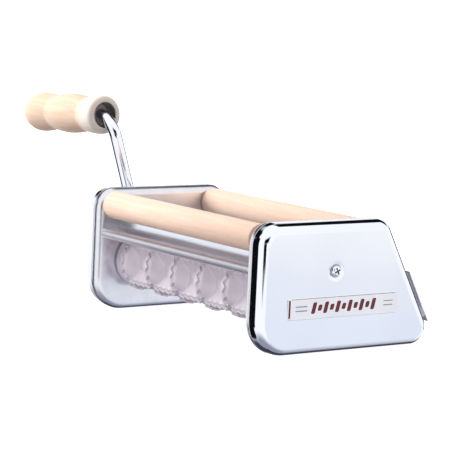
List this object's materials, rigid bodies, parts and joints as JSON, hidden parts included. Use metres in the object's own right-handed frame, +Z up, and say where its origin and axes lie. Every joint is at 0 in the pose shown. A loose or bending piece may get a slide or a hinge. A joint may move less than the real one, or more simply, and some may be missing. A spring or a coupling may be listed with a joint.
{
  "type": "ravioli roller machine",
  "caption": "Hand-cranked stuffed-pasta roller machine: two geared mould rollers with square pockets and two wooden guide rollers between chromed end housings, with a bent crank and turned wooden grip.",
  "frame": {"origin": "on the table plane, under the middle of the roller bed and the middle of the housings' foot", "axes": "+X along the rollers from the crank side to the plain side, +Y from the front (where the housings stand upright) to the sloping rear, +Z up"},
  "size_m": [0.4254, 0.1749, 0.1678],
  "materials": {
    "chrome_cover": "polished chrome plating on pressed steel",
    "chrome_frame": "polished chrome plating, slightly softer inside",
    "chrome_rod": "polished chrome rod",
    "hopper_chrome": "polished chrome sheet with soft waves",
    "mould_aluminium": "satin die-cast aluminium, bright ridges",
    "guide_wood": "pale beech, bare, fine straight grain",
    "grip_wood": "pale turned beech, lightly varnished",
    "shaft_steel": "ground steel",
    "gear_steel": "oiled hobbed steel",
    "bush_bronze": "sintered bronze",
    "bush_nylon": "natural nylon",
    "plate_enamel": "white lacquered metal plate with plain red marks"
  },
  "bodies": {
    "base": {"right_side_frame": "chrome_frame", "left_side_frame": "chrome_frame", "right_cover": "chrome_cover", "left_cover": "chrome_cover", "cover_posts": "shaft_steel", "cover_screws": "chrome_rod", "name_plate": "plate_enamel", "front_tie_rod": "chrome_rod", "upper_rear_tie_rod": "chrome_rod", "lower_rear_tie_rod": "chrome_rod", "tie_rod_screws": "shaft_steel", "front_hopper_plate": "hopper_chrome", "rear_hopper_plate": "hopper_chrome", "hopper_rivets": "shaft_steel", "rear_hooks": "chrome_frame", "hook_rivets": "shaft_steel", "roller_bushes": "bush_bronze", "guide_bushes": "bush_nylon"},
    "front_mould": {"front_mould_roller": "mould_aluminium", "front_roller_shaft": "shaft_steel", "front_roller_pin": "shaft_steel", "front_timing_gear": "gear_steel", "front_gear_key": "shaft_steel", "front_shaft_clips": "shaft_steel"},
    "rear_mould": {"rear_mould_roller": "mould_aluminium", "rear_roller_shaft": "shaft_steel", "rear_roller_pin": "shaft_steel", "rear_timing_gear": "gear_steel", "rear_gear_key": "shaft_steel", "rear_shaft_clip": "shaft_steel", "crank_coupling": "chrome_rod", "coupling_pin": "shaft_steel"},
    "front_guide": {"front_wooden_roller": "guide_wood", "front_guide_pins": "shaft_steel"},
    "rear_guide": {"rear_wooden_roller": "guide_wood", "rear_guide_pins": "shaft_steel"},
    "crank": {"crank_rod": "chrome_rod", "grip_screw": "chrome_rod"},
    "grip": {"crank_grip": "grip_wood", "grip_ferrule": "chrome_rod"}
  },
  "joints": [
    {"name": "crank_turn", "type": "hinge", "parent": "base", "child": "rear_mould", "pos_m": [0, 0.0005, 0.0413], "axis": [1, 0, 0], "continuous": true},
    {"name": "front_mould_turn", "type": "hinge", "parent": "base", "child": "front_mould", "pos_m": [0, -0.0475, 0.0413], "axis": [1, 0, 0], "continuous": true},
    {"name": "front_guide_turn", "type": "hinge", "parent": "base", "child": "front_guide", "pos_m": [0, -0.0727, 0.0868], "axis": [1, 0, 0], "continuous": true},
    {"name": "rear_guide_turn", "type": "hinge", "parent": "base", "child": "rear_guide", "pos_m": [0, 0.0249, 0.0868], "axis": [1, 0, 0], "continuous": true},
    {"name": "crank_pull", "type": "slide", "parent": "rear_mould", "child": "crank", "axis": [-1, 0, 0], "range_m": [0, 0.011]},
    {"name": "grip_turn", "type": "hinge", "parent": "crank", "child": "grip", "pos_m": [-0.17366, -0.03069, 0.15225], "axis": [-0.9978, 0.0179, -0.0638], "continuous": true}
  ],
  "couplings": [
    {"joint": "front_mould_turn", "follows": "crank_turn", "ratio": -1}
  ]
}
